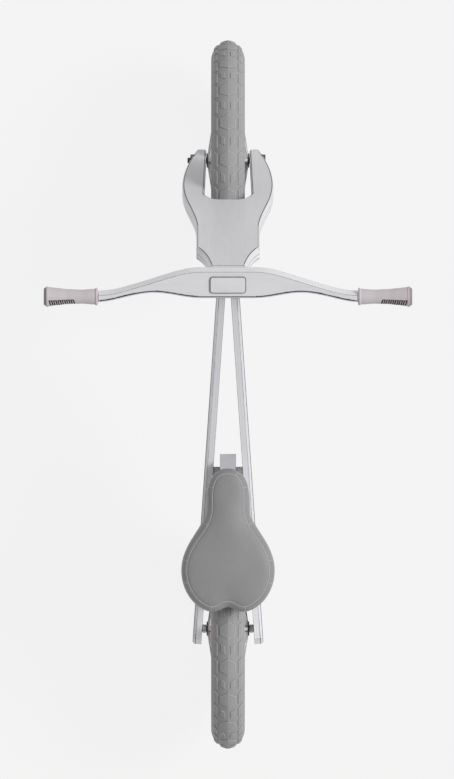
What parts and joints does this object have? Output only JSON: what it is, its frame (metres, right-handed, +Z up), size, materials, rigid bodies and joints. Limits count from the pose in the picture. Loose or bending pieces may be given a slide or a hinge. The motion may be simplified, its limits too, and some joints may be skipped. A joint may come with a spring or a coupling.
{
  "type": "balance bike",
  "caption": "Child's two-wheeled balance bike of flat boards: no pedals, steered fork with a wide bar, padded saddle on a sliding carrier, wheels that turn freely.",
  "frame": {"origin": "on the ground under the middle of the wheelbase", "axes": "+Y forward along the bike, +X to the rider's right, +Z up"},
  "size_m": [0.4514, 0.8839, 0.5591],
  "materials": {
    "lacquered_ply": "satin light grey lacquer on plywood",
    "solid_wood": "satin grey lacquer",
    "aluminium": "satin",
    "steel": "dark zinc",
    "bush_plastic": "self-lubricating plastic",
    "badge": "plain plate with no mark",
    "grip_rubber": "soft matt",
    "grip_cap_rubber": "soft matt",
    "tyre": "grey foam rubber with tread",
    "wheel_plastic": "moulded, satin",
    "pan_plastic": "moulded",
    "saddle_cover": "synthetic leather over foam"
  },
  "bodies": {
    "frame": {"side_board_left": "lacquered_ply", "side_board_right": "lacquered_ply", "head_lug": "aluminium", "head_bush_lower": "bush_plastic", "head_bush_upper": "bush_plastic", "head_lug_bolts": "steel", "seat_block": "solid_wood", "seat_block_screws": "steel", "seat_clamp_bolt": "steel", "seat_clamp_nut": "steel", "rear_axle": "steel", "rear_axle_caps": "steel", "rear_axle_spacers": "aluminium"},
    "steering": {"fork_front_board": "lacquered_ply", "fork_back_board": "lacquered_ply", "fork_crown_block": "solid_wood", "fork_screws": "steel", "front_axle": "steel", "front_axle_nut": "steel", "front_axle_washers": "steel", "steering_column": "steel", "lower_spacer": "aluminium", "upper_spacer": "aluminium", "column_washer": "steel", "column_nut": "steel", "handlebar": "lacquered_ply", "badge_plate": "badge", "grip_left": "grip_rubber", "grip_right": "grip_rubber", "grip_cap_left": "grip_cap_rubber", "grip_cap_right": "grip_cap_rubber"},
    "front_wheel": {"front_tyre": "tyre", "front_wheel_core": "wheel_plastic", "front_hub_bush_left": "bush_plastic", "front_hub_bush_right": "bush_plastic"},
    "rear_wheel": {"rear_tyre": "tyre", "rear_wheel_core": "wheel_plastic", "rear_hub_bush_left": "bush_plastic", "rear_hub_bush_right": "bush_plastic"},
    "seat": {"seat_carrier": "solid_wood", "saddle_plate": "steel", "plate_screws": "steel", "saddle_screws": "steel", "saddle_pan": "pan_plastic", "saddle_cushion": "saddle_cover"}
  },
  "joints": [
    {"name": "steer", "type": "hinge", "parent": "frame", "child": "steering", "pos_m": [0, 0.2826, 0.14658], "axis": [0, -0.342, 0.9397], "range_deg": [-40, 40]},
    {"name": "front_wheel_spin", "type": "hinge", "parent": "steering", "child": "front_wheel", "pos_m": [0, 0.292, 0.15], "axis": [1, 0, 0], "continuous": true},
    {"name": "rear_wheel_spin", "type": "hinge", "parent": "frame", "child": "rear_wheel", "pos_m": [0, -0.292, 0.15], "axis": [1, 0, 0], "continuous": true},
    {"name": "seat_height", "type": "slide", "parent": "frame", "child": "seat", "axis": [0, 0, 1], "range_m": [0, 0.045]}
  ]
}
